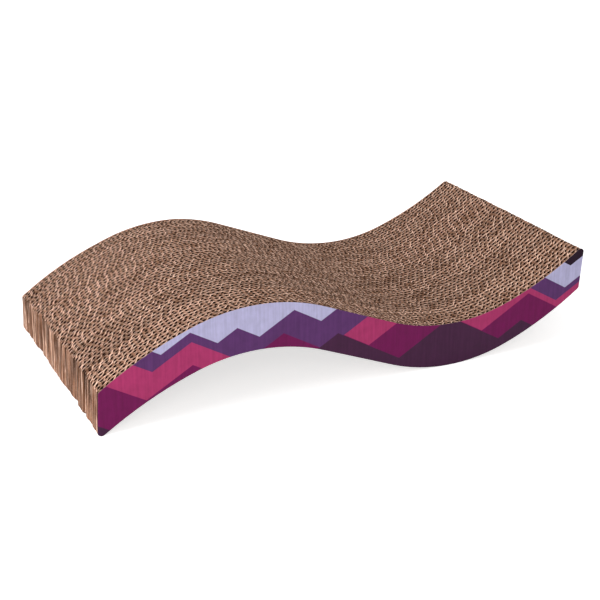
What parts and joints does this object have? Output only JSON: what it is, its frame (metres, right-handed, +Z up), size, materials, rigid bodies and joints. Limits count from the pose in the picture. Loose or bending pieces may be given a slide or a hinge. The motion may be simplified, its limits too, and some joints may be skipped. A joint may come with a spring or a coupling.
{
  "type": "cardboard cat scratcher",
  "caption": "Wave-shaped cat scratcher and lounger of upright corrugated board strips with open flutes on top and a printed card on each long side.",
  "frame": {"origin": "on the floor, under the middle of the part's length and width", "axes": "+X along the length towards the raised end, +Y across the strips from the front card to the rear card, +Z up along the flutes"},
  "size_m": [0.48, 0.2482, 0.0923],
  "materials": {
    "corrugated_board": "uncoated brown kraft paper, matte, with open flute holes on the cut edges",
    "printed_card": "printed card in a zigzag of purples and pinks, matte with a slight sheen, pale cut edge"
  },
  "bodies": {
    "root": {"corrugated_strip_01": "corrugated_board", "corrugated_strip_02": "corrugated_board", "corrugated_strip_03": "corrugated_board", "corrugated_strip_04": "corrugated_board", "corrugated_strip_05": "corrugated_board", "corrugated_strip_06": "corrugated_board", "corrugated_strip_07": "corrugated_board", "corrugated_strip_08": "corrugated_board", "corrugated_strip_09": "corrugated_board", "corrugated_strip_10": "corrugated_board", "corrugated_strip_11": "corrugated_board", "corrugated_strip_12": "corrugated_board", "corrugated_strip_13": "corrugated_board", "corrugated_strip_14": "corrugated_board", "corrugated_strip_15": "corrugated_board", "corrugated_strip_16": "corrugated_board", "corrugated_strip_17": "corrugated_board", "corrugated_strip_18": "corrugated_board", "corrugated_strip_19": "corrugated_board", "corrugated_strip_20": "corrugated_board", "corrugated_strip_21": "corrugated_board", "corrugated_strip_22": "corrugated_board", "corrugated_strip_23": "corrugated_board", "corrugated_strip_24": "corrugated_board", "corrugated_strip_25": "corrugated_board", "corrugated_strip_26": "corrugated_board", "corrugated_strip_27": "corrugated_board", "corrugated_strip_28": "corrugated_board", "corrugated_strip_29": "corrugated_board", "corrugated_strip_30": "corrugated_board", "corrugated_strip_31": "corrugated_board", "corrugated_strip_32": "corrugated_board", "corrugated_strip_33": "corrugated_board", "corrugated_strip_34": "corrugated_board", "corrugated_strip_35": "corrugated_board", "corrugated_strip_36": "corrugated_board", "corrugated_strip_37": "corrugated_board", "corrugated_strip_38": "corrugated_board", "corrugated_strip_39": "corrugated_board", "corrugated_strip_40": "corrugated_board", "corrugated_strip_41": "corrugated_board", "corrugated_strip_42": "corrugated_board", "corrugated_strip_43": "corrugated_board", "corrugated_strip_44": "corrugated_board", "corrugated_strip_45": "corrugated_board", "corrugated_strip_46": "corrugated_board", "corrugated_strip_47": "corrugated_board", "corrugated_strip_48": "corrugated_board", "corrugated_strip_49": "corrugated_board", "corrugated_strip_50": "corrugated_board", "corrugated_strip_51": "corrugated_board", "front_printed_card": "printed_card", "rear_printed_card": "printed_card"}
  },
  "joints": []
}
